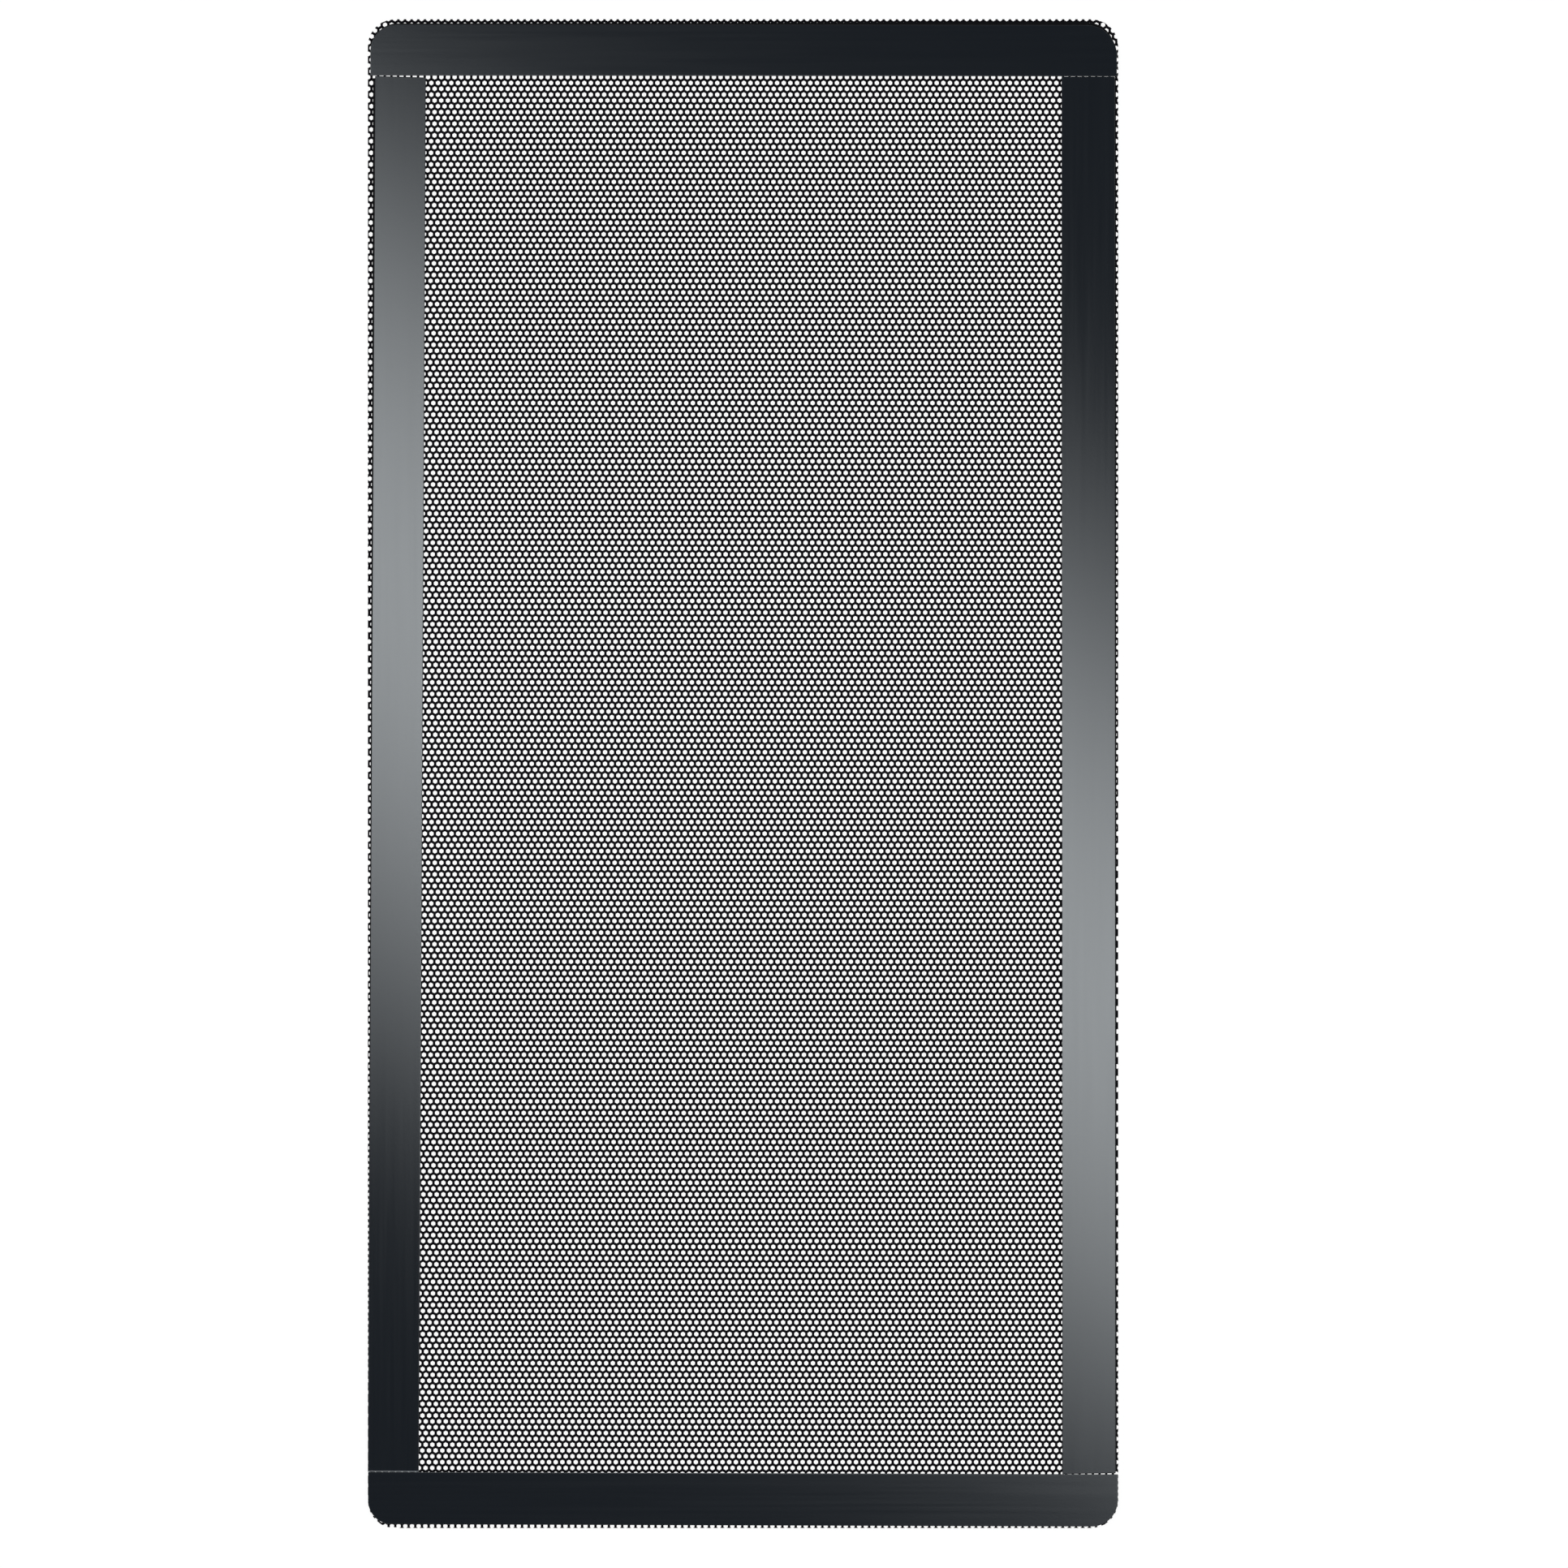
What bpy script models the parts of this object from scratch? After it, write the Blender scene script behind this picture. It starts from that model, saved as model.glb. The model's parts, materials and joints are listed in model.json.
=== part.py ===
"""Fan dust filter: a perforated PVC mesh for two fans side by side, framed by four magnet strips.

The filter lies flat with its strips facing up. X runs across it, Y along it and Z up, and the
origin is the middle of the mesh's underside. Lengths are in metres and angles in degrees.
"""

import math
from dataclasses import dataclass

import bmesh
import bpy
from mathutils import Vector

# Mesh sheet
SHEET_WIDTH = 0.1194
SHEET_LENGTH = 0.2401
SHEET_THICKNESS = 0.0004
SHEET_CORNER_RADIUS = 0.0043

# Perforation: round holes in staggered rows, which slots across the sheet stand for here
HOLE_DIAMETER = 0.0007
HOLE_PITCH = 0.00106
ROW_PITCH = 0.000926
ROWS_PER_SLOT = 2
SLOT_END_MARGIN = 0.0005

# Magnet strips, each cut by hand from one roll and so of slightly different width
TOP_STRIP_WIDTH = 0.00815
BOTTOM_STRIP_WIDTH = 0.00832
LEFT_STRIP_WIDTH = 0.00805
RIGHT_STRIP_WIDTH = 0.00847
STRIP_THICKNESS = 0.001
STRIP_CORNER_RADIUS = 0.0042
TOP_RIGHT_CORNER_RADIUS = 0.0048
BOTTOM_LEFT_CORNER_RADIUS = 0.0038
STRIP_EDGE_RADIUS = 0.0001

# Rim of bare mesh outside each strip, at the strip's two ends
TOP_RIM_AT_LEFT = 0.00087
TOP_RIM_AT_RIGHT = 0.001
BOTTOM_RIM_AT_LEFT = 0.00065
BOTTOM_RIM_AT_RIGHT = 0.00027
LEFT_RIM_AT_TOP = 0.0012
LEFT_RIM_AT_BOTTOM = 0.00006
RIGHT_RIM_AT_TOP = 0.00056
RIGHT_RIM_AT_BOTTOM = 0.00044

# Rim of bare mesh past the ends of the two strips that run the full width
TOP_LEFT_END_RIM = 0.00044
TOP_RIGHT_END_RIM = 0.00023
BOTTOM_LEFT_END_RIM = 0.00005
BOTTOM_RIGHT_END_RIM = 0.00008

# Seams where the side strips end against the top and bottom strips, at the strips' outer edge,
# and how much wider a seam is at the inner edge, where an end is cut out of square
TOP_LEFT_SEAM = 0.00008
TOP_RIGHT_SEAM = 0.00005
BOTTOM_LEFT_SEAM = 0.00005
BOTTOM_RIGHT_SEAM = 0.00016
TOP_LEFT_SKEW = 0.0002
BOTTOM_RIGHT_SKEW = -0.00012

# Adhesive film between the mesh and each strip, set in from the strip's outline, and how far it
# shows past the outer side of three of the strips instead
FILM_THICKNESS = 0.00012
FILM_INSET = 0.0003
TOP_FILM_REACH_AT_LEFT = 0.0002
TOP_FILM_REACH_AT_RIGHT = 0.0005
RIGHT_FILM_REACH = 0.0002
LEFT_FILM_REACH_AT_TOP = 0.00035
LEFT_FILM_REACH_AT_BOTTOM = 0.00004
BOND_CLEARANCE = 0.00002

ARC_STEPS = 8
EDGE_SEGMENTS = 2
CUTTER_OVERSHOOT = 0.001

PVC_COLOUR = (0.006, 0.006, 0.007)
MAGNET_COLOUR = (0.012, 0.014, 0.018)
ADHESIVE_COLOUR = (0.02, 0.02, 0.021)


@dataclass(frozen=True)
class Strip:
    """A straight strip laid on the sheet from start to end, with its outer side on the left.

    An end's radius rounds its outer corner, its skew is how far its inner corner is drawn back
    from square, and its film reach is how far the film shows past the outer side there.
    """

    place: str
    start: Vector
    end: Vector
    width: float
    start_radius: float = 0.0
    end_radius: float = 0.0
    start_skew: float = 0.0
    end_skew: float = 0.0
    start_film_reach: float = -FILM_INSET
    end_film_reach: float = -FILM_INSET

    @property
    def length(self):
        """Distance between the middles of the strip's two ends."""
        return (self.end - self.start).length

    @property
    def heading(self):
        """Angle of the strip's run from +X, in radians."""
        run = self.end - self.start
        return math.atan2(run.y, run.x)

    def inner_edge_y(self, x):
        """Y at which the inner edge of a strip that runs across the sheet passes x."""
        run = (self.end - self.start).normalized()
        corner = self.start + Vector((run.y, -run.x)) * self.width / 2
        return corner.y + (x - corner.x) * run.y / run.x


def lay_strips():
    """Return the four strips in the order top, right, bottom, left, which runs clockwise."""
    side = SHEET_WIDTH / 2
    edge = SHEET_LENGTH / 2

    top = Strip(
        "top",
        Vector((-side + TOP_LEFT_END_RIM, edge - TOP_RIM_AT_LEFT - TOP_STRIP_WIDTH / 2)),
        Vector((side - TOP_RIGHT_END_RIM, edge - TOP_RIM_AT_RIGHT - TOP_STRIP_WIDTH / 2)),
        TOP_STRIP_WIDTH,
        STRIP_CORNER_RADIUS,
        TOP_RIGHT_CORNER_RADIUS,
        start_film_reach=TOP_FILM_REACH_AT_LEFT,
        end_film_reach=TOP_FILM_REACH_AT_RIGHT,
    )
    bottom = Strip(
        "bottom",
        Vector((side - BOTTOM_RIGHT_END_RIM, -edge + BOTTOM_RIM_AT_RIGHT + BOTTOM_STRIP_WIDTH / 2)),
        Vector((-side + BOTTOM_LEFT_END_RIM, -edge + BOTTOM_RIM_AT_LEFT + BOTTOM_STRIP_WIDTH / 2)),
        BOTTOM_STRIP_WIDTH,
        STRIP_CORNER_RADIUS,
        BOTTOM_LEFT_CORNER_RADIUS,
    )

    right_top_x = side - RIGHT_RIM_AT_TOP - RIGHT_STRIP_WIDTH / 2
    right_bottom_x = side - RIGHT_RIM_AT_BOTTOM - RIGHT_STRIP_WIDTH / 2
    right = Strip(
        "right",
        Vector((right_top_x, top.inner_edge_y(right_top_x) - TOP_RIGHT_SEAM)),
        Vector((right_bottom_x, bottom.inner_edge_y(right_bottom_x) + BOTTOM_RIGHT_SEAM)),
        RIGHT_STRIP_WIDTH,
        end_skew=BOTTOM_RIGHT_SKEW,
        start_film_reach=RIGHT_FILM_REACH,
        end_film_reach=RIGHT_FILM_REACH,
    )
    left_bottom_x = -side + LEFT_RIM_AT_BOTTOM + LEFT_STRIP_WIDTH / 2
    left_top_x = -side + LEFT_RIM_AT_TOP + LEFT_STRIP_WIDTH / 2
    left = Strip(
        "left",
        Vector((left_bottom_x, bottom.inner_edge_y(left_bottom_x) + BOTTOM_LEFT_SEAM)),
        Vector((left_top_x, top.inner_edge_y(left_top_x) - TOP_LEFT_SEAM)),
        LEFT_STRIP_WIDTH,
        end_skew=TOP_LEFT_SKEW,
        start_film_reach=LEFT_FILM_REACH_AT_BOTTOM,
        end_film_reach=LEFT_FILM_REACH_AT_TOP,
    )
    return top, right, bottom, left


def clear_scene():
    """Remove every object, so that the part is built in an empty scene."""
    for item in list(bpy.data.objects):
        bpy.data.objects.remove(item, do_unlink=True)


def make_material(name, colour, roughness):
    """Return a Principled material of one colour and roughness."""
    material = bpy.data.materials.new(name)
    material.use_nodes = True
    shader = material.node_tree.nodes["Principled BSDF"]
    shader.inputs["Base Color"].default_value = (*colour, 1.0)
    shader.inputs["Roughness"].default_value = roughness
    shader.inputs["Metallic"].default_value = 0.0
    return material


def corner_points(corner, inward, radius):
    """Return the points of one corner, counter-clockwise: an arc, or the corner itself."""
    if radius <= 0:
        return [corner]
    centre = corner + Vector(inward) * radius
    middle = math.atan2(-inward[1], -inward[0])
    points = []
    for step in range(ARC_STEPS + 1):
        angle = middle - math.pi / 4 + math.pi / 2 * step / ARC_STEPS
        points.append(centre + Vector((math.cos(angle), math.sin(angle))) * radius)
    return points


def sheet_outline():
    """Return the outline of the sheet, with its four corners rounded."""
    side = SHEET_WIDTH / 2
    edge = SHEET_LENGTH / 2
    outline = []
    for x_sign, y_sign in ((-1, -1), (1, -1), (1, 1), (-1, 1)):
        corner = Vector((x_sign * side, y_sign * edge))
        outline += corner_points(corner, (-x_sign, -y_sign), SHEET_CORNER_RADIUS)
    return outline


def strip_outline(strip, inset=0.0, start_reach=0.0, end_reach=0.0):
    """Return a strip's outline about its middle, its run along X.

    It is set in at both ends and along the inner side. The two reaches are how far it goes past
    the outer side at its ends.
    """
    half_x = strip.length / 2 - inset
    half_y = strip.width / 2
    start_radius = max(strip.start_radius - inset, 0.0)
    end_radius = max(strip.end_radius - inset, 0.0)
    outline = [
        Vector((-half_x + strip.start_skew, -half_y + inset)),
        Vector((half_x - strip.end_skew, -half_y + inset)),
    ]
    outline += corner_points(Vector((half_x, half_y + end_reach)), (-1, -1), end_radius)
    outline += corner_points(Vector((-half_x, half_y + start_reach)), (1, -1), start_radius)
    return outline


def add_plate(name, outline, thickness, material):
    """Return an object that holds the outline raised from Z = 0 to its thickness."""
    shape = bmesh.new()
    base = shape.faces.new([shape.verts.new((point.x, point.y, 0.0)) for point in outline])
    raised = bmesh.ops.extrude_face_region(shape, geom=[base])
    top_points = [item for item in raised["geom"] if isinstance(item, bmesh.types.BMVert)]
    bmesh.ops.translate(shape, vec=(0.0, 0.0, thickness), verts=top_points)
    bmesh.ops.recalc_face_normals(shape, faces=shape.faces)

    mesh = bpy.data.meshes.new(name)
    shape.to_mesh(mesh)
    shape.free()
    mesh.materials.append(material)
    plate = bpy.data.objects.new(name, mesh)
    bpy.context.collection.objects.link(plate)
    return plate


def round_edges(plate, radius):
    """Give a plate's sharp edges a small rounding."""
    bevel = plate.modifiers.new("edge_rounding", "BEVEL")
    bevel.width = radius
    bevel.segments = EDGE_SEGMENTS
    bevel.limit_method = "ANGLE"
    bevel.angle_limit = math.radians(30)


def slot_field(strips):
    """Return the lowest and highest corner of the field of slots, inside the frame of strips."""
    top, right, bottom, left = strips
    lowest_x = max(left.start.x, left.end.x) + left.width / 2
    highest_x = min(right.start.x, right.end.x) - right.width / 2
    lowest_y = max(bottom.inner_edge_y(lowest_x), bottom.inner_edge_y(highest_x))
    highest_y = min(top.inner_edge_y(lowest_x), top.inner_edge_y(highest_x))
    margin = Vector((SLOT_END_MARGIN, SLOT_END_MARGIN))
    return Vector((lowest_x, lowest_y)) + margin, Vector((highest_x, highest_y)) - margin


def add_slot_cutter(strips):
    """Return the cutter for the slots, which leave as much of the sheet open as the holes do."""
    low, high = slot_field(strips)
    open_share = math.pi / 4 * HOLE_DIAMETER**2 / (HOLE_PITCH * ROW_PITCH)
    slot_pitch = ROWS_PER_SLOT * ROW_PITCH
    slot_width = open_share * slot_pitch
    slot_count = int((high.y - low.y + slot_pitch - slot_width) / slot_pitch)
    first_slot_y = (low.y + high.y) / 2 - (slot_count - 1) * slot_pitch / 2

    shape = bmesh.new()
    bmesh.ops.create_cube(shape, size=1.0)
    size = Vector((high.x - low.x, slot_width, SHEET_THICKNESS + 2 * CUTTER_OVERSHOOT))
    bmesh.ops.scale(shape, vec=size, verts=shape.verts)
    mesh = bpy.data.meshes.new("slot_cutter")
    shape.to_mesh(mesh)
    shape.free()
    cutter = bpy.data.objects.new("slot_cutter", mesh)
    bpy.context.collection.objects.link(cutter)
    cutter.location = ((low.x + high.x) / 2, first_slot_y, SHEET_THICKNESS / 2)
    cutter.hide_render = True
    cutter.display_type = "WIRE"

    row = cutter.modifiers.new("slots_along_sheet", "ARRAY")
    row.count = slot_count
    row.use_relative_offset = False
    row.use_constant_offset = True
    row.constant_offset_displace = (0.0, slot_pitch, 0.0)
    return cutter


def add_sheet(strips, material):
    """Return the mesh sheet with its field of slots."""
    sheet = add_plate("mesh_sheet", sheet_outline(), SHEET_THICKNESS, material)
    cutter = add_slot_cutter(strips)
    cut = sheet.modifiers.new("slots", "BOOLEAN")
    cut.operation = "DIFFERENCE"
    cut.solver = "EXACT"
    cut.object = cutter
    return sheet, cutter


def place_on_sheet(plate, strip, height):
    """Put a plate over the middle of a strip's run, turned to its heading."""
    middle = (strip.start + strip.end) / 2
    plate.location = (middle.x, middle.y, height)
    plate.rotation_euler = (0.0, 0.0, strip.heading)


def add_film(strip, material):
    """Return the adhesive film under a strip."""
    outline = strip_outline(
        strip, FILM_INSET, strip.start_film_reach, strip.end_film_reach
    )
    film = add_plate(f"adhesive_film_{strip.place}", outline, FILM_THICKNESS, material)
    place_on_sheet(film, strip, SHEET_THICKNESS + BOND_CLEARANCE)
    return film


def add_magnet(strip, material):
    """Return a magnet strip, lying on its film."""
    outline = strip_outline(strip)
    magnet = add_plate(f"magnet_strip_{strip.place}", outline, STRIP_THICKNESS, material)
    round_edges(magnet, STRIP_EDGE_RADIUS)
    place_on_sheet(magnet, strip, SHEET_THICKNESS + FILM_THICKNESS + 2 * BOND_CLEARANCE)
    return magnet


def main():
    """Build the filter and hang every piece from one empty."""
    clear_scene()
    pvc = make_material("black_pvc", PVC_COLOUR, 0.55)
    magnet_rubber = make_material("magnet_rubber", MAGNET_COLOUR, 0.3)
    adhesive = make_material("adhesive", ADHESIVE_COLOUR, 0.6)

    strips = lay_strips()
    sheet, cutter = add_sheet(strips, pvc)
    pieces = [sheet, cutter]
    for strip in strips:
        pieces.append(add_film(strip, adhesive))
        pieces.append(add_magnet(strip, magnet_rubber))

    root = bpy.data.objects.new("fan_dust_filter", None)
    bpy.context.collection.objects.link(root)
    for piece in pieces:
        piece.parent = root


main()
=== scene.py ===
"""Dresses the fan dust filter: a punched PVC mesh held flat by four flexible magnet strips.

The filter lies on a pale floor with its strips facing up, and the camera looks straight down
on it. Lengths are in metres in the frame of the solids: X across, Y along and Z up.
"""

from __future__ import annotations

import json
import logging
import math
from collections.abc import Callable
from dataclasses import dataclass, field
from enum import Enum

import bmesh
import bpy
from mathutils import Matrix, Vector

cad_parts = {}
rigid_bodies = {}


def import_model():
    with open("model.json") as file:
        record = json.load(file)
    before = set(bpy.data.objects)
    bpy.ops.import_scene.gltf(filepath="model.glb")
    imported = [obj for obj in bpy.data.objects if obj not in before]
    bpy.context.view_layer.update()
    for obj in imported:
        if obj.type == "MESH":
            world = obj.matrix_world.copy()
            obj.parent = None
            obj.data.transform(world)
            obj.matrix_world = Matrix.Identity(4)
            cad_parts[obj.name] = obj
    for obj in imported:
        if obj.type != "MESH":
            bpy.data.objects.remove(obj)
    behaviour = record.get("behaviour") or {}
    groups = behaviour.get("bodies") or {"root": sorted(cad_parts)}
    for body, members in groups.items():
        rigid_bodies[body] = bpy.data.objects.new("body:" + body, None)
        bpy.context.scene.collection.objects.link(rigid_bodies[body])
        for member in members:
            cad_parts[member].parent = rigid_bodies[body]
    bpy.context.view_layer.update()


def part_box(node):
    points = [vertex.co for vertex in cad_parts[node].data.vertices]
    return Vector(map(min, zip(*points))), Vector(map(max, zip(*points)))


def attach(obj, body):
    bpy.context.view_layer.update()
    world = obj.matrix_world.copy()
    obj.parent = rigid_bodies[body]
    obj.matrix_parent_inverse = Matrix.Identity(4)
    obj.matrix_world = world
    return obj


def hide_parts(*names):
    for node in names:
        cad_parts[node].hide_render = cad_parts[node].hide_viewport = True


MM = 0.001
BODY = "root"

log = logging.getLogger("fan_dust_filter")


class Side(Enum):
    """The side of the sheet that a strip and its film run along."""

    TOP = "top"
    BOTTOM = "bottom"
    LEFT = "left"
    RIGHT = "right"


class Part(Enum):
    """What is selected in edit mode."""

    EDGES = "EDGE"
    FACES = "FACE"


def linear(hex_colour: str) -> tuple[float, float, float, float]:
    """Turn an sRGB hex colour into linear light.

    Args:
        hex_colour: Six hex digits, such as "1C2025".

    Returns:
        Red, green, blue and an alpha of 1.
    """
    channels = []
    for start in (0, 2, 4):
        value = int(hex_colour[start : start + 2], 16) / 255
        dark = value <= 0.04045
        channels.append(value / 12.92 if dark else ((value + 0.055) / 1.055) ** 2.4)
    return (*channels, 1.0)


def add_node(
    tree: bpy.types.NodeTree,
    kind: str,
    settings: dict[str, object] | None = None,
    inputs: dict[str | int, object] | None = None,
) -> bpy.types.Node:
    """Add a shader node with its settings, values and links.

    Args:
        tree: The node tree that gets the node.
        kind: The node's type name.
        settings: The node's own properties by name.
        inputs: For each input, the output that feeds it, or its value.

    Returns:
        The new node.
    """
    node = tree.nodes.new(kind)
    for name, value in (settings or {}).items():
        setattr(node, name, value)
    for name, value in (inputs or {}).items():
        socket = node.inputs[name]
        if isinstance(value, bpy.types.NodeSocket):
            tree.links.new(value, socket)
        else:
            socket.default_value = value
    return node


def deselect_all() -> None:
    """Leave no object selected, so that an operator acts only on what is selected next."""
    bpy.ops.object.select_all(action="DESELECT")


def make_active(piece: bpy.types.Object) -> None:
    """Select one object alone and make it the active one.

    Args:
        piece: The object.
    """
    deselect_all()
    piece.select_set(True)
    bpy.context.view_layer.objects.active = piece


def select_parts(piece: bpy.types.Object, part: Part, test: Callable[[Vector], bool]) -> None:
    """Select the edges or faces whose middle passes a test, in edit mode.

    Args:
        piece: The object in edit mode.
        part: Whether edges or faces are selected.
        test: Says of a middle point whether its edge or face is wanted.
    """
    bpy.ops.mesh.select_mode(type=part.value)
    bpy.ops.mesh.select_all(action="DESELECT")
    shape = bmesh.from_edit_mesh(piece.data)
    if part is Part.EDGES:
        for edge in shape.edges:
            if test((edge.verts[0].co + edge.verts[1].co) / 2):
                edge.select_set(True)
    else:
        for face in shape.faces:
            if test(face.calc_center_median()):
                face.select_set(True)
    bmesh.update_edit_mesh(piece.data)


def apply_modifier(piece: bpy.types.Object, kind: str, settings: dict[str, object]) -> None:
    """Add a modifier to an object and apply it.

    Args:
        piece: The object.
        kind: The modifier's type name.
        settings: The modifier's properties by name.
    """
    make_active(piece)
    modifier = piece.modifiers.new(kind.lower(), kind)
    for name, value in settings.items():
        setattr(modifier, name, value)
    bpy.ops.object.modifier_apply(modifier=modifier.name)


def place_in_mesh(piece: bpy.types.Object) -> None:
    """Move an object's place, turn and size into its mesh.

    Args:
        piece: The object.
    """
    make_active(piece)
    bpy.ops.object.transform_apply(location=True, rotation=True, scale=True)


def set_material(piece: bpy.types.Object, material: bpy.types.Material) -> None:
    """Give an object one material in place of any it has."""
    piece.data.materials.clear()
    piece.data.materials.append(material)


def start_material(
    name: str,
) -> tuple[bpy.types.Material, bpy.types.Node, bpy.types.NodeSocket]:
    """Start a material whose patterns lie on the piece's own coordinates.

    Args:
        name: The material's name.

    Returns:
        The material, its shader, and the output that gives the place on the piece.
    """
    material = bpy.data.materials.new(name)
    material.use_nodes = True
    shader = material.node_tree.nodes["Principled BSDF"]
    place = add_node(material.node_tree, "ShaderNodeTexCoord").outputs["Object"]
    return material, shader, place


def speckle(
    shader: bpy.types.Node,
    place: bpy.types.NodeSocket,
    grain: float,
    colours: tuple[str, str],
    detail: float = 2.0,
) -> bpy.types.NodeSocket:
    """Colour a shader in soft patches that go from one colour to another.

    Args:
        shader: The shader that gets the colours.
        place: The output that gives the place on the piece.
        grain: The size of a patch.
        colours: The two colours, as sRGB hex.
        detail: How many finer layers the patches have.

    Returns:
        The output that gives the patches themselves, from 0 to 1.
    """
    tree = shader.id_data
    patches = add_node(
        tree,
        "ShaderNodeTexNoise",
        inputs={"Vector": place, "Scale": 1 / grain, "Detail": detail},
    ).outputs["Fac"]
    colour = add_node(
        tree,
        "ShaderNodeMix",
        {"data_type": "RGBA"},
        {"Factor": patches, 6: linear(colours[0]), 7: linear(colours[1])},
    )
    tree.links.new(colour.outputs[2], shader.inputs["Base Color"])
    return patches


def raise_grain(shader: bpy.types.Node, grain: bpy.types.NodeSocket, height: float) -> None:
    """Give a shader the relief of a fine grain.

    Args:
        shader: The shader that gets the relief.
        grain: The output that gives the grain, from 0 to 1.
        height: How high the grain stands.
    """
    tree = shader.id_data
    bump = add_node(
        tree,
        "ShaderNodeBump",
        inputs={"Height": grain, "Strength": 1.0, "Distance": height},
    )
    tree.links.new(bump.outputs["Normal"], shader.inputs["Normal"])


@dataclass(frozen=True)
class PunchedPvc:
    """Soft PVC sheet, calendered dull and punched, which looks flat black with no highlight."""

    colour: str = "08070B"
    worn_colour: str = "100E14"
    roughness: float = 0.62
    specular: float = 0.04
    grain: float = 0.25 * MM
    grain_height: float = 0.004 * MM

    def make(self) -> bpy.types.Material:
        """Make the finish.

        Returns:
            The material.
        """
        material, shader, place = start_material("soft_pvc_calendered_punched")
        # The calender leaves a fine leather-like grain.
        grain = speckle(shader, place, self.grain, (self.colour, self.worn_colour))
        raise_grain(shader, grain, self.grain_height)
        shader.inputs["Roughness"].default_value = self.roughness
        shader.inputs["Specular IOR Level"].default_value = self.specular
        return material


@dataclass(frozen=True)
class MagnetRubber:
    """Ferrite-filled rubber, extruded as a strip: a smooth satin blue-black face.

    The streaks go from the smoother to the rougher face between a low and a high level of the
    noise that draws them.
    """

    colour: str = "10161D"
    dusty_colour: str = "141A21"
    ior: float = 1.5
    smooth_roughness: float = 0.11
    rough_roughness: float = 0.13
    streak_width: float = 0.6 * MM
    streak_length: float = 30 * MM
    streak_detail: float = 2.0
    streak_low: float = 0.3
    streak_high: float = 0.7
    grain: float = 0.3 * MM
    grain_detail: float = 3.0
    grain_height: float = 0.0012 * MM

    def make(self, name: str, along_x: bool) -> bpy.types.Material:
        """Make the finish for a strip.

        Args:
            name: The end of the material's name.
            along_x: Whether the strip was drawn along X, as its streaks are.

        Returns:
            The material.
        """
        material, shader, place = start_material(f"ferrite_rubber_extruded_{name}")
        tree = material.node_tree

        # The die leaves faint streaks along the strip.
        long_scale = 1 / self.streak_length
        cross_scale = 1 / self.streak_width
        scale = (long_scale, cross_scale, cross_scale)
        if not along_x:
            scale = (cross_scale, long_scale, cross_scale)
        stretched = add_node(
            tree, "ShaderNodeMapping", inputs={"Vector": place, "Scale": scale}
        ).outputs["Vector"]
        streaks = add_node(
            tree,
            "ShaderNodeTexNoise",
            inputs={"Vector": stretched, "Scale": 1.0, "Detail": self.streak_detail},
        ).outputs["Fac"]
        roughness = add_node(
            tree,
            "ShaderNodeMapRange",
            inputs={
                "Value": streaks,
                "From Min": self.streak_low,
                "From Max": self.streak_high,
                "To Min": self.smooth_roughness,
                "To Max": self.rough_roughness,
            },
        )
        tree.links.new(roughness.outputs["Result"], shader.inputs["Roughness"])

        # The ferrite powder shows as a fine even grain.
        colours = (self.colour, self.dusty_colour)
        grain = speckle(shader, place, self.grain, colours, self.grain_detail)
        raise_grain(shader, grain, self.grain_height)
        shader.inputs["IOR"].default_value = self.ior
        return material


@dataclass(frozen=True)
class CutRubberPaintedHighlight:
    """The same rubber where a blade has cut it, with a painted highlight: matt pale grey in place
    of the light along the cut edge at the seam.
    """

    colour: str = "8C9094"
    pale_colour: str = "A6AAAE"
    roughness: float = 0.7
    grain: float = 0.2 * MM

    def make(self) -> bpy.types.Material:
        """Make the finish.

        Returns:
            The material.
        """
        material, shader, place = start_material("ferrite_rubber_cut_painted_highlight")
        # The painted highlight is laid in small patches of two greys.
        speckle(shader, place, self.grain, (self.colour, self.pale_colour))
        shader.inputs["Roughness"].default_value = self.roughness
        return material


@dataclass(frozen=True)
class BondingFilmPaintedShade:
    """Acrylic adhesive on a thin film, near black: its dull dark line beside a strip is painted
    shade for the strip's edge.
    """

    colour: str = "0B0B0E"
    pale_colour: str = "131317"
    roughness: float = 0.6
    specular: float = 0.1
    grain: float = 1.5 * MM

    def make(self) -> bpy.types.Material:
        """Make the finish.

        Returns:
            The material.
        """
        material, shader, place = start_material("acrylic_adhesive_painted_shade")
        # The glue is laid a little unevenly.
        # The near-black colour is painted shade where the film shows beside a strip.
        speckle(shader, place, self.grain, (self.colour, self.pale_colour))
        shader.inputs["Roughness"].default_value = self.roughness
        shader.inputs["Specular IOR Level"].default_value = self.specular
        return material


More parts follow.
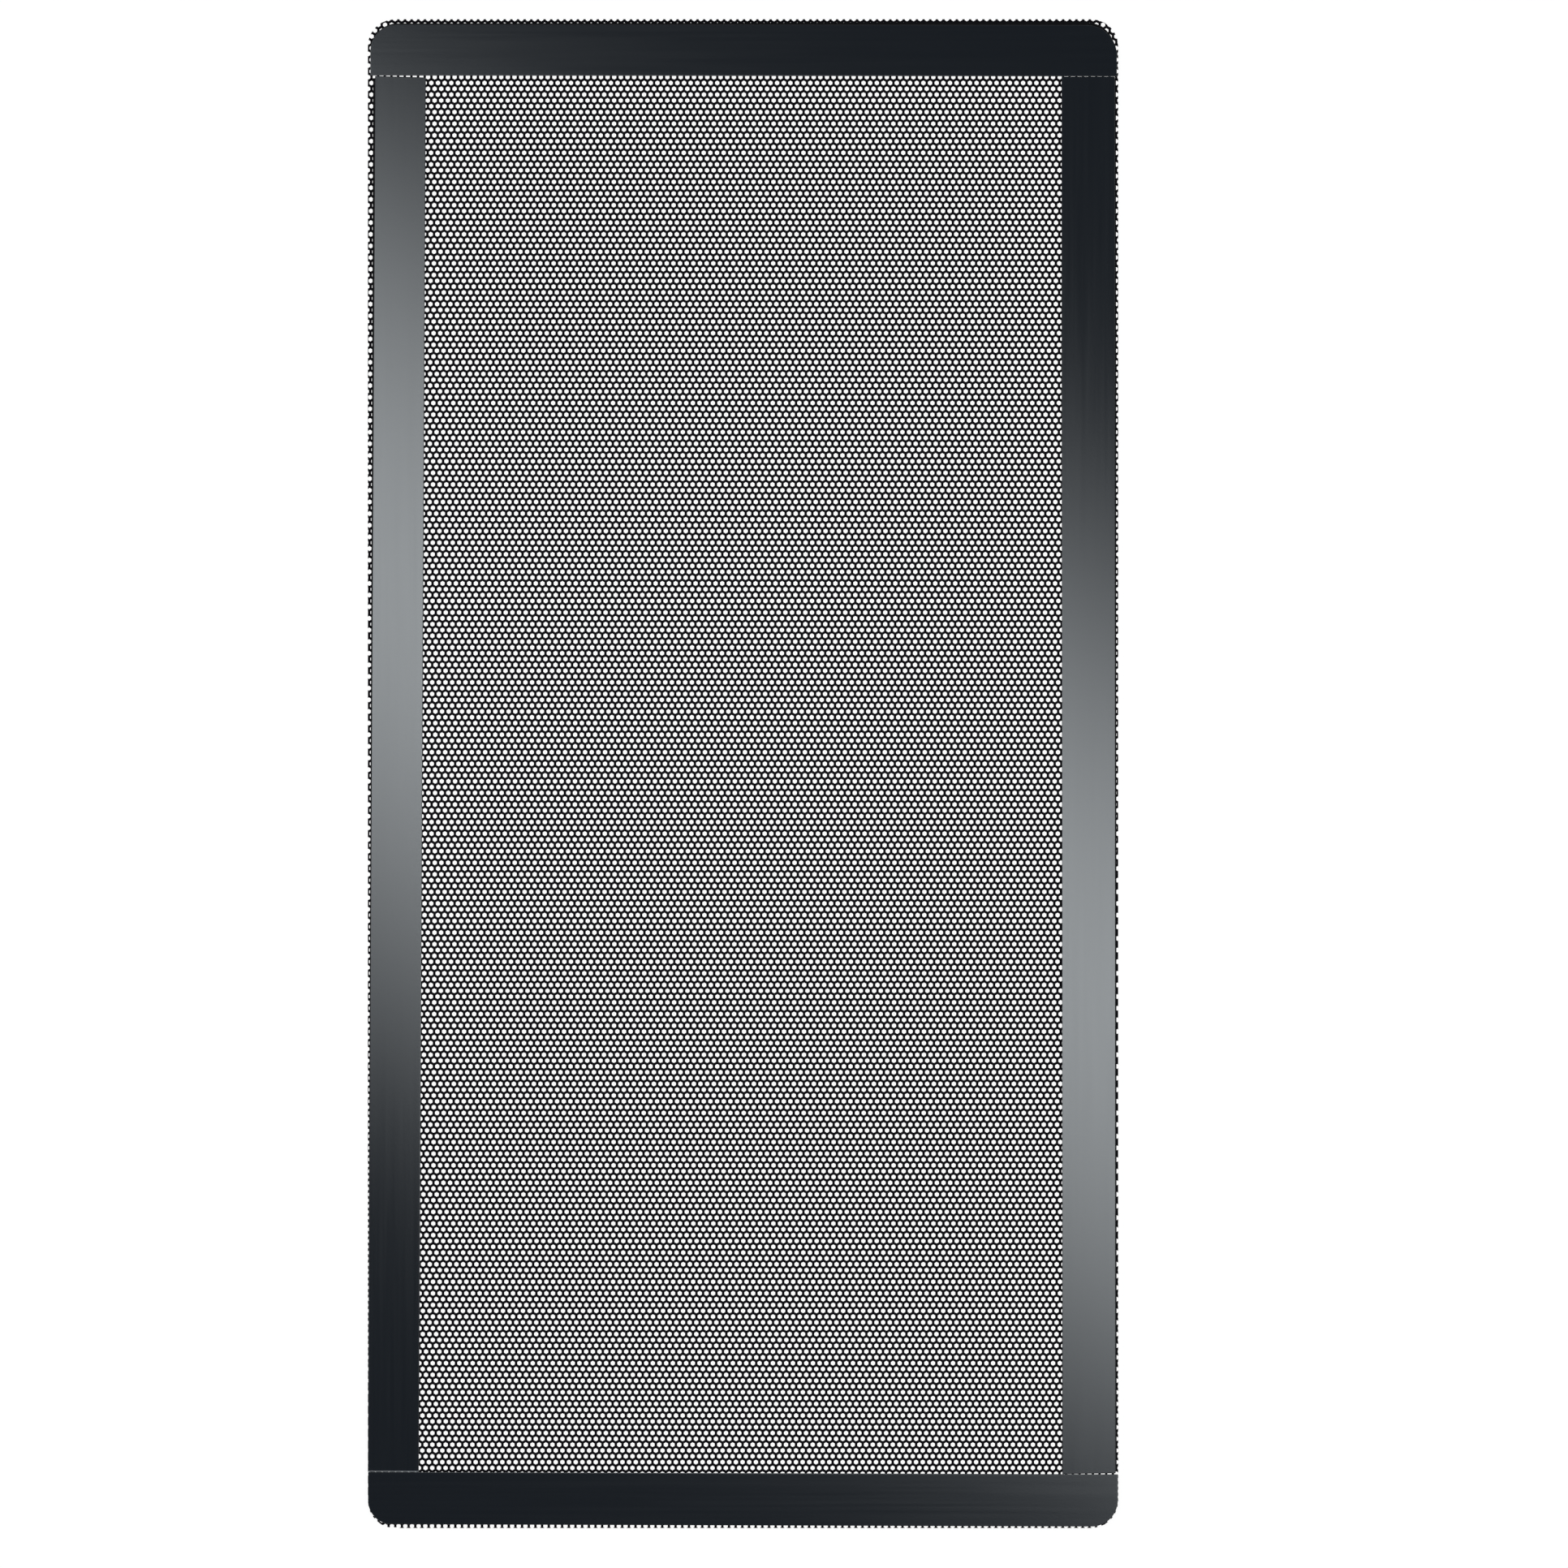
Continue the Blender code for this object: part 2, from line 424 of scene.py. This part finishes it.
@dataclass
class MeshSheet:
    """The punched sheet: round holes in staggered rows, cut to its outline through the holes.

    A hole is drawn with six sides of the same area, flats facing its neighbours, so that the
    sheet's nearly thirty thousand holes stay light, and it is split into bands for the same
    reason. Each row lies half a pitch and a small drift further along X than the row below it.
    A band ends a share of the way from one row to the next.
    """

    node: str = "mesh_sheet"
    hole_pitch: float = 1.06 * MM
    row_pitch: float = 0.926 * MM
    row_drift: float = 0.0031 * MM
    hole_diameter: float = 0.7 * MM
    middle_hole: tuple[float, float] = (0.292 * MM, -0.291 * MM)
    taper: float = -0.004
    corner_radius: float = 4.3 * MM
    corner_cuts: int = 6
    band_count: int = 5
    split_share: float = 0.25
    weld: float = 0.01 * MM
    cut_reach: float = 0.001 * MM
    smooth_angle: float = 65.0
    finish: PunchedPvc = field(default_factory=PunchedPvc)

    def __post_init__(self) -> None:
        """Read the sheet's box from the frame and work out the lattice."""
        low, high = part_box(self.node)
        self.low = Vector(low)
        self.high = Vector(high)
        hexagon_share = 1.5 * math.sqrt(3)
        self.hole_reach = self.hole_diameter / 2 * math.sqrt(math.pi / hexagon_share)
        self.beside = Vector((self.hole_pitch, 0.0, 0.0))
        self.up_right = Vector((self.hole_pitch / 2 + self.row_drift, self.row_pitch, 0.0))
        self.up_left = self.up_right - self.beside

    def corner_of_hole(self, degrees: float) -> Vector:
        """Return the corner of a six-sided hole that lies at an angle from its middle."""
        angle = math.radians(degrees)
        return Vector((math.cos(angle), math.sin(angle), 0.0)) * self.hole_reach

    def web_step(self, neighbour: Vector, degrees: float) -> Vector:
        """Return the step from a hole's side across the web to the side of its neighbour.

        Args:
            neighbour: The way from the hole's middle to its neighbour's.
            degrees: The angle of the first corner of the side.

        Returns:
            The step that takes the side onto the neighbour's facing side.
        """
        return neighbour + self.corner_of_hole(degrees + 120) - self.corner_of_hole(degrees)

    def add_cell(self) -> bpy.types.Object:
        """Model one hole's rim with the webs to three neighbours and the joints between them.

        Returns:
            The cell and its copy in the row above, as one flat object.
        """
        deselect_all()
        bpy.ops.mesh.primitive_circle_add(
            vertices=6, radius=self.hole_reach, fill_type="NOTHING", location=(0, 0, 0)
        )
        cell = bpy.context.active_object
        right_step = self.web_step(self.beside, 30)
        up_right_step = self.web_step(self.up_right, 90)
        up_left_step = self.web_step(self.up_left, 150)
        bpy.ops.object.mode_set(mode="EDIT")
        for degrees, step in ((30, right_step), (90, up_right_step), (150, up_left_step)):
            side = (self.corner_of_hole(degrees) + self.corner_of_hole(degrees - 60)) / 2
            select_parts(cell, Part.EDGES, lambda middle: (middle - side).length < self.weld)
            bpy.ops.mesh.extrude_region_move(TRANSFORM_OT_translate={"value": step})
        for degrees, first, second in (
            (30, right_step, up_right_step),
            (90, up_right_step, up_left_step),
        ):
            corner = self.corner_of_hole(degrees)
            ends = (corner + first / 2, corner + second / 2)
            select_parts(
                cell,
                Part.EDGES,
                lambda middle: min((middle - end).length for end in ends) < self.weld,
            )
            bpy.ops.mesh.edge_face_add()
        bpy.ops.mesh.select_all(action="SELECT")
        bpy.ops.mesh.duplicate_move(TRANSFORM_OT_translate={"value": self.up_right})
        bpy.ops.object.mode_set(mode="OBJECT")
        return cell

    def spread(self, cell: bpy.types.Object) -> None:
        """Repeat the pair of cells over the whole sheet and weld them together.

        Args:
            cell: The pair of cells, which becomes the flat sheet.
        """
        pair_step = self.up_right + self.up_left
        columns_each_way = math.ceil(self.high.x / self.hole_pitch) + 1
        pairs_each_way = math.ceil(self.high.y / pair_step.y) + 1
        middle = Vector((*self.middle_hole, self.low.z))
        cell.location = middle - self.beside * columns_each_way - pair_step * pairs_each_way
        place_in_mesh(cell)
        for step, each_way in ((self.beside, columns_each_way), (pair_step, pairs_each_way)):
            apply_modifier(
                cell,
                "ARRAY",
                {
                    "count": 2 * each_way + 1,
                    "use_relative_offset": False,
                    "use_constant_offset": True,
                    "constant_offset_displace": step,
                },
            )
        # The sheet was drawn a hair wider towards its lower end.
        apply_modifier(
            cell,
            "SIMPLE_DEFORM",
            {"deform_method": "TAPER", "deform_axis": "Y", "factor": self.taper},
        )
        bpy.ops.object.mode_set(mode="EDIT")
        bpy.ops.mesh.select_all(action="SELECT")
        bpy.ops.mesh.remove_doubles(threshold=self.weld)
        bpy.ops.mesh.normals_make_consistent(inside=False)
        bpy.ops.object.mode_set(mode="OBJECT")
        if cell.data.polygons[0].normal.z < 0:
            cell.data.flip_normals()

    def cut(self, point: Vector, way: Vector) -> None:
        """Cut the selected faces along a plane and drop what lies beyond it.

        Args:
            point: A point of the plane.
            way: The way that the plane faces, which is outwards.
        """
        bpy.ops.mesh.bisect(
            plane_co=point, plane_no=way, clear_outer=True, threshold=self.cut_reach
        )

    def trim(self, sheet: bpy.types.Object) -> None:
        """Cut the sheet to its outline, with straight sides and round corners.

        Args:
            sheet: The flat sheet.
        """
        make_active(sheet)
        bpy.ops.object.mode_set(mode="EDIT")
        for point, way in (
            (self.high, Vector((1, 0, 0))),
            (self.high, Vector((0, 1, 0))),
            (self.low, Vector((-1, 0, 0))),
            (self.low, Vector((0, -1, 0))),
        ):
            bpy.ops.mesh.select_all(action="SELECT")
            self.cut(point, way)
        for x_sign in (1, -1):
            for y_sign in (1, -1):
                self.round_corner(sheet, x_sign, y_sign)
        bpy.ops.mesh.select_all(action="SELECT")
        bpy.ops.mesh.dissolve_degenerate(threshold=self.cut_reach)
        bpy.ops.mesh.select_all(action="SELECT")
        bpy.ops.mesh.delete_loose()
        self.part_pinched_corners(sheet)
        self.drop_crumbs(sheet)
        bpy.ops.object.mode_set(mode="OBJECT")

    def round_corner(self, sheet: bpy.types.Object, x_sign: int, y_sign: int) -> None:
        """Round one corner of the sheet with short straight cuts.

        Args:
            sheet: The flat sheet, in edit mode.
            x_sign: The sign of X at the corner.
            y_sign: The sign of Y at the corner.
        """
        reach = self.high - Vector((self.corner_radius, self.corner_radius, 0.0))
        centre = Vector((x_sign * reach.x, y_sign * reach.y, self.low.z))
        step = math.pi / 2 / self.corner_cuts
        for index in range(self.corner_cuts):
            angle = (index + 0.5) * step
            way = Vector((x_sign * math.cos(angle), y_sign * math.sin(angle), 0.0))
            select_parts(
                sheet,
                Part.FACES,
                lambda middle: middle.x * x_sign > reach.x and middle.y * y_sign > reach.y,
            )
            self.cut(centre + way * self.corner_radius * math.cos(step / 2), way)

    def part_pinched_corners(self, sheet: bpy.types.Object) -> None:
        """Give two webs that touch at one point a corner each, so that their walls stay closed.

        Args:
            sheet: The flat sheet, in edit mode.
        """
        shape = bmesh.from_edit_mesh(sheet.data)
        for corner in list(shape.verts):
            rim = [edge for edge in corner.link_edges if edge.is_boundary]
            if len(rim) > 2:
                bmesh.utils.vert_separate(corner, rim)
        bmesh.update_edit_mesh(sheet.data)

    def drop_crumbs(self, sheet: bpy.types.Object) -> None:
        """Drop the crumbs of web that the outline's cut leaves hanging on to nothing.

        Args:
            sheet: The flat sheet, in edit mode.
        """
        select_parts(sheet, Part.FACES, lambda middle: middle.length < self.hole_pitch)
        bpy.ops.mesh.select_linked()
        bpy.ops.mesh.select_all(action="INVERT")
        bpy.ops.mesh.delete(type="VERT")

    def split(self, sheet: bpy.types.Object) -> list[bpy.types.Object]:
        """Part the flat sheet into bands along Y, each a piece of its own.

        A band ends just past a row of holes, where it cuts only the webs between them.

        Args:
            sheet: The flat sheet, which keeps the first band.

        Returns:
            The bands from the sheet's lower end to its upper.
        """
        rows = math.ceil((self.high.y - self.low.y) / self.row_pitch / self.band_count)
        band_length = rows * self.row_pitch
        rows_to_first_end = rows - rows * self.band_count // 2 + self.split_share
        first_end = self.middle_hole[1] + rows_to_first_end * self.row_pitch
        bands = [sheet]
        sheet.name = "mesh_band_1"
        for index in range(1, self.band_count):
            start = first_end + (index - 1) * band_length
            make_active(sheet)
            bpy.ops.object.mode_set(mode="EDIT")
            select_parts(
                sheet,
                Part.FACES,
                lambda middle: start <= middle.y < start + band_length,
            )
            bpy.ops.mesh.separate(type="SELECTED")
            bpy.ops.object.mode_set(mode="OBJECT")
            band = next(item for item in bpy.context.selected_objects if item is not sheet)
            band.name = f"mesh_band_{index + 1}"
            bands.append(band)
        return bands

    def thicken(self, band: bpy.types.Object) -> None:
        """Raise a flat band straight up to the sheet's thickness, with faces outwards.

        Args:
            band: The flat band.
        """
        make_active(band)
        bpy.ops.object.mode_set(mode="EDIT")
        bpy.ops.mesh.select_all(action="SELECT")
        rise = Vector((0.0, 0.0, self.high.z - self.low.z))
        bpy.ops.mesh.extrude_region_move(TRANSFORM_OT_translate={"value": rise})
        bpy.ops.mesh.select_all(action="SELECT")
        bpy.ops.mesh.normals_make_consistent(inside=False)
        bpy.ops.object.mode_set(mode="OBJECT")

    def build(self) -> list[bpy.types.Object]:
        """Build the sheet from one hole.

        Returns:
            The finished bands, which stand for the sheet's solid.
        """
        material = self.finish.make()
        sheet = self.add_cell()
        self.spread(sheet)
        self.trim(sheet)
        bands = self.split(sheet)
        for band in bands:
            self.thicken(band)
            # The walls of a hole are shaded as one round wall, and its rims stay sharp.
            bpy.ops.object.shade_smooth_by_angle(angle=math.radians(self.smooth_angle))
            set_material(band, material)
            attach(band, BODY)
            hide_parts(self.node)
        return bands


@dataclass
class MagnetStrip:
    """A flexible magnet strip, slit square from a roll, with its outer corners rounded.

    One corner of an end may be cut back from square. It is named by its signs in X and Y. The
    lower end may be a raw cut, whose upper edge is taken off and carries a painted highlight in
    pale grey.
    """

    side: Side
    lean: float
    left_radius: float = 0.0
    right_radius: float = 0.0
    cut_back: float = 0.0
    cut_back_corner: tuple[int, int] = (0, 0)
    raw_edge: float = 0.0
    edge_radius: float = 0.05 * MM
    edge_segments: int = 3
    bevel_angle: float = 50.0
    smooth_angle: float = 35.0
    flat_margin: float = 0.03 * MM
    face_reach: float = 0.0005 * MM
    corner_segments: int = 16
    finish: MagnetRubber = field(default_factory=MagnetRubber)
    # The pale grey painted highlight for the raw end.
    cut_highlight_finish: CutRubberPaintedHighlight = field(default_factory=CutRubberPaintedHighlight)

    def __post_init__(self) -> None:
        """Read the strip's box from the frame and work out its own length and width."""
        self.node = f"magnet_strip_{self.side.value}"
        low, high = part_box(self.node)
        self.middle = (Vector(low) + Vector(high)) / 2
        box = Vector(high) - Vector(low)
        turn = abs(math.radians(self.lean))
        shrink = math.cos(2 * turn)
        self.size = Vector(
            (
                (box.x * math.cos(turn) - box.y * math.sin(turn)) / shrink,
                (box.y * math.cos(turn) - box.x * math.sin(turn)) / shrink,
                box.z,
            )
        )

    def round_corners(self, strip: bpy.types.Object) -> None:
        """Round the two corners that lie at the sheet's own corners.

        Args:
            strip: The plain strip, about its own middle and in edit mode.
        """
        outward = 1 if self.side is Side.TOP else -1
        for x_sign, radius in ((-1, self.left_radius), (1, self.right_radius)):
            select_parts(
                strip,
                Part.EDGES,
                lambda middle: abs(middle.z) < self.size.z / 4
                and middle.x * x_sign > self.size.x / 2 - self.edge_radius
                and middle.y * outward > self.size.y / 4,
            )
            bpy.ops.mesh.bevel(offset=radius, segments=self.corner_segments, affect="EDGES")

    def cut_back_end(self, strip: bpy.types.Object) -> None:
        """Draw the one corner back from square.

        Args:
            strip: The plain strip, about its own middle and in edit mode.
        """
        x_sign, y_sign = self.cut_back_corner
        select_parts(
            strip,
            Part.EDGES,
            lambda middle: abs(middle.z) < self.size.z / 4
            and middle.x * x_sign > self.size.x / 4
            and middle.y * y_sign > self.size.y / 4,
        )
        bpy.ops.transform.translate(value=(0.0, -y_sign * self.cut_back, 0.0))

    def take_edge_off(self, strip: bpy.types.Object) -> None:
        """Take the upper edge off the lower end.

        Args:
            strip: The plain strip, about its own middle and in edit mode.
        """
        select_parts(
            strip,
            Part.EDGES,
            lambda middle: middle.y < -self.size.y / 4 and middle.z > self.size.z / 4,
        )
        bpy.ops.mesh.bevel(offset=self.raw_edge, segments=1, affect="EDGES")

    def is_painted_highlight_face(self, middle: Vector) -> bool:
        """Say whether a face of the finished strip belongs to the raw end, which carries the
        painted highlight.
        """
        return middle.y < self.raw_edge - self.size.y / 2

    def paint_end_highlight(self, strip: bpy.types.Object) -> None:
        """Give the raw end's faces the painted highlight.

        Args:
            strip: The strip, still about its own middle.
        """
        strip.data.materials.append(self.cut_highlight_finish.make())
        make_active(strip)
        bpy.ops.object.mode_set(mode="EDIT")
        select_parts(strip, Part.FACES, self.is_painted_highlight_face)
        strip.active_material_index = 1
        bpy.ops.object.material_slot_assign()
        bpy.ops.object.mode_set(mode="OBJECT")

    def keep_faces_flat(self, strip: bpy.types.Object) -> None:
        """Inset the wide faces a hair, so that the round edges end where the flat begins.

        Args:
            strip: The strip, still about its own middle.
        """
        make_active(strip)
        bpy.ops.object.mode_set(mode="EDIT")
        near_face = self.size.z / 2 - self.face_reach
        select_parts(strip, Part.FACES, lambda middle: abs(middle.z) > near_face)
        bpy.ops.mesh.inset(thickness=self.flat_margin)
        bpy.ops.object.mode_set(mode="OBJECT")

    def build(self) -> bpy.types.Object:
        """Build the strip from a cube.

        Returns:
            The strip, which stands for its solid.
        """
        deselect_all()
        bpy.ops.mesh.primitive_cube_add(size=1.0)
        strip = bpy.context.active_object
        strip.name = f"satin_strip_{self.side.value}"
        strip.scale = self.size
        place_in_mesh(strip)
        bpy.ops.object.mode_set(mode="EDIT")
        if self.cut_back > 0:
            self.cut_back_end(strip)
        if self.raw_edge > 0:
            self.take_edge_off(strip)
        if self.left_radius > 0:
            self.round_corners(strip)
        bpy.ops.object.mode_set(mode="OBJECT")
        apply_modifier(
            strip,
            "BEVEL",
            {
                "width": self.edge_radius,
                "segments": self.edge_segments,
                "limit_method": "ANGLE",
                "angle_limit": math.radians(self.bevel_angle),
            },
        )
        self.keep_faces_flat(strip)
        set_material(strip, self.finish.make(self.side.value, self.size.x > self.size.y))
        # The raw end's upper edge gets a painted highlight in pale grey.
        if self.raw_edge > 0:
            self.paint_end_highlight(strip)
        strip.location = self.middle
        strip.rotation_euler = (0.0, 0.0, math.radians(self.lean))
        place_in_mesh(strip)
        bpy.ops.object.shade_smooth_by_angle(angle=math.radians(self.smooth_angle))
        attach(strip, BODY)
        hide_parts(self.node)
        return strip


@dataclass
class AdhesiveFilms:
    """The four films that bond the strips to the mesh, kept as their solids, in near-black painted
    shade.
    """

    finish: BondingFilmPaintedShade = field(default_factory=BondingFilmPaintedShade)

    def dress(self) -> list[bpy.types.Object]:
        """Give each film its finish.

        Returns:
            The films.
        """
        # The films' near-black colour is painted shade where they show beside the strips.
        material = self.finish.make()
        films = [bpy.data.objects[f"adhesive_film_{side.value}"] for side in Side]
        for film in films:
            set_material(film, material)
        return films


@dataclass
class Studio:
    """A pale floor, a dim ceiling over pale walls, one long soft lamp and the camera."""

    floor_size: float = 8.0
    floor_drop: float = 0.02 * MM
    floor_albedo: float = 0.13
    floor_glow: float = 0.92
    wall_light: float = 1.0
    ceiling_light: float = 0.1
    wall_top: float = 22.0
    ceiling_edge: float = 50.0
    lamp_length: float = 0.6
    lamp_width: float = 0.215
    lamp_height: float = 0.6
    lamp_power: float = 3.35
    lamp_colour: str = "F6FCFF"
    lamp_turn: float = -29.5
    lamp_middle: tuple[float, float] = (-1.7 * MM, -1.3 * MM)
    camera_height: float = 2.5
    sensor_width: float = 36.0
    framed_node: str = "mesh_sheet"
    photo_width: float = 249.5 * MM
    photo_middle: tuple[float, float] = (6.52 * MM, -1.65 * MM)

    def add_floor(self) -> None:
        """Add the floor, whose own light makes it white and whose colour keeps the shadow."""
        deselect_all()
        bpy.ops.mesh.primitive_plane_add(
            size=self.floor_size, location=(0.0, 0.0, -self.floor_drop)
        )
        floor = bpy.context.active_object
        floor.name = "studio_floor"
        material = bpy.data.materials.new("matt_white_paper")
        material.use_nodes = True
        tree = material.node_tree
        tree.nodes.clear()
        rays = add_node(tree, "ShaderNodeLightPath").outputs
        direct = add_node(
            tree,
            "ShaderNodeMath",
            {"operation": "MAXIMUM"},
            {0: rays["Is Camera Ray"], 1: rays["Is Glossy Ray"]},
        )
        seen = add_node(
            tree,
            "ShaderNodeMath",
            {"operation": "MAXIMUM"},
            {0: direct.outputs[0], 1: rays["Is Transmission Ray"]},
        )
        strength = add_node(
            tree,
            "ShaderNodeMath",
            {"operation": "MULTIPLY"},
            {0: seen.outputs[0], 1: self.floor_glow},
        )
        glow = add_node(tree, "ShaderNodeEmission", inputs={"Strength": strength.outputs[0]})
        grey = (self.floor_albedo, self.floor_albedo, self.floor_albedo, 1.0)
        paper = add_node(tree, "ShaderNodeBsdfDiffuse", inputs={"Color": grey})
        both = add_node(
            tree, "ShaderNodeAddShader", inputs={0: glow.outputs[0], 1: paper.outputs[0]}
        )
        add_node(tree, "ShaderNodeOutputMaterial", inputs={"Surface": both.outputs[0]})
        set_material(floor, material)

    def add_world(self) -> None:
        """Light the object from pale walls all round, under a dim ceiling."""
        world = bpy.data.worlds.new("studio_room")
        world.use_nodes = True
        bpy.context.scene.world = world
        tree = world.node_tree
        tree.nodes.clear()
        way = add_node(tree, "ShaderNodeTexCoord").outputs["Generated"]
        height = add_node(tree, "ShaderNodeSeparateXYZ", inputs={"Vector": way}).outputs["Z"]
        level = add_node(
            tree,
            "ShaderNodeMapRange",
            {"interpolation_type": "SMOOTHSTEP"},
            {
                "Value": height,
                "From Min": math.sin(math.radians(self.wall_top)),
                "From Max": math.sin(math.radians(self.ceiling_edge)),
                "To Min": self.wall_light,
                "To Max": self.ceiling_light,
            },
        )
        light = add_node(
            tree, "ShaderNodeBackground", inputs={"Strength": level.outputs["Result"]}
        )
        light.inputs["Color"].default_value = (1.0, 1.0, 1.0, 1.0)
        add_node(tree, "ShaderNodeOutputWorld", inputs={"Surface": light.outputs[0]})

    def add_lamp(self) -> None:
        """Hang a long soft lamp that the strips reflect as one slanting band."""
        deselect_all()
        bpy.ops.object.light_add(type="AREA", location=(*self.lamp_middle, self.lamp_height))
        lamp = bpy.context.active_object
        lamp.name = "long_soft_lamp"
        lamp.rotation_euler = (0.0, 0.0, math.radians(self.lamp_turn))
        lamp.data.shape = "RECTANGLE"
        lamp.data.size = self.lamp_length
        lamp.data.size_y = self.lamp_width
        lamp.data.energy = self.lamp_power
        lamp.data.color = linear(self.lamp_colour)[:3]
        lamp.visible_camera = False

        # The lamp is brightest along its middle and fades to nothing at its long sides. Its own
        # coordinate runs from 0 to 1 across it.
        half = 0.5
        lamp.data.use_nodes = True
        tree = lamp.data.node_tree
        place = add_node(tree, "ShaderNodeNewGeometry").outputs["Parametric"]
        across = add_node(tree, "ShaderNodeSeparateXYZ", inputs={"Vector": place}).outputs["Y"]
        offset = add_node(tree, "ShaderNodeMath", {"operation": "SUBTRACT"}, {0: across, 1: half})
        aside = add_node(tree, "ShaderNodeMath", {"operation": "ABSOLUTE"}, {0: offset.outputs[0]})
        fade = add_node(
            tree,
            "ShaderNodeMapRange",
            {"interpolation_type": "SMOOTHSTEP"},
            {
                "Value": aside.outputs[0],
                "From Min": 0.0,
                "From Max": half,
                "To Min": 1.0,
                "To Max": 0.0,
            },
        )
        tree.links.new(fade.outputs["Result"], tree.nodes["Emission"].inputs["Strength"])

    def add_camera(self) -> None:
        """Look straight down on the filter, framed as in the photograph."""
        camera_data = bpy.data.cameras.new("camera")
        camera = bpy.data.objects.new("camera", camera_data)
        bpy.context.collection.objects.link(camera)
        mesh_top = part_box(self.framed_node)[1][2]
        camera.location = (*self.photo_middle, mesh_top + self.camera_height)
        camera_data.sensor_width = self.sensor_width
        camera_data.lens = self.sensor_width * self.camera_height / self.photo_width
        bpy.context.scene.camera = camera

    def build(self) -> None:
        """Add the floor, the light and the camera."""
        self.add_floor()
        self.add_world()
        self.add_lamp()
        self.add_camera()
        bpy.context.scene.view_settings.view_transform = "Standard"


def main() -> None:
    """Dress the filter piece by piece, then set up the studio."""
    logging.basicConfig(level=logging.INFO, format="%(message)s")
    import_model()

    for band in MeshSheet().build():
        log.info("%s: %d faces", band.name, len(band.data.polygons))
    strips = (
        MagnetStrip(Side.TOP, lean=-0.063, left_radius=4.2 * MM, right_radius=4.8 * MM),
        MagnetStrip(Side.BOTTOM, lean=-0.183, left_radius=3.8 * MM, right_radius=4.2 * MM),
        MagnetStrip(
            Side.LEFT,
            lean=-0.29,
            cut_back=0.2 * MM,
            cut_back_corner=(1, 1),
            raw_edge=0.15 * MM,
        ),
        MagnetStrip(Side.RIGHT, lean=0.031, cut_back=0.12 * MM, cut_back_corner=(1, -1)),
    )
    for strip in strips:
        piece = strip.build()
        log.info("%s: %.1f by %.1f mm", piece.name, strip.size.x / MM, strip.size.y / MM)
    for film in AdhesiveFilms().dress():
        log.info("%s: dressed", film.name)
    Studio().build()


if __name__ == "__main__":
    main()
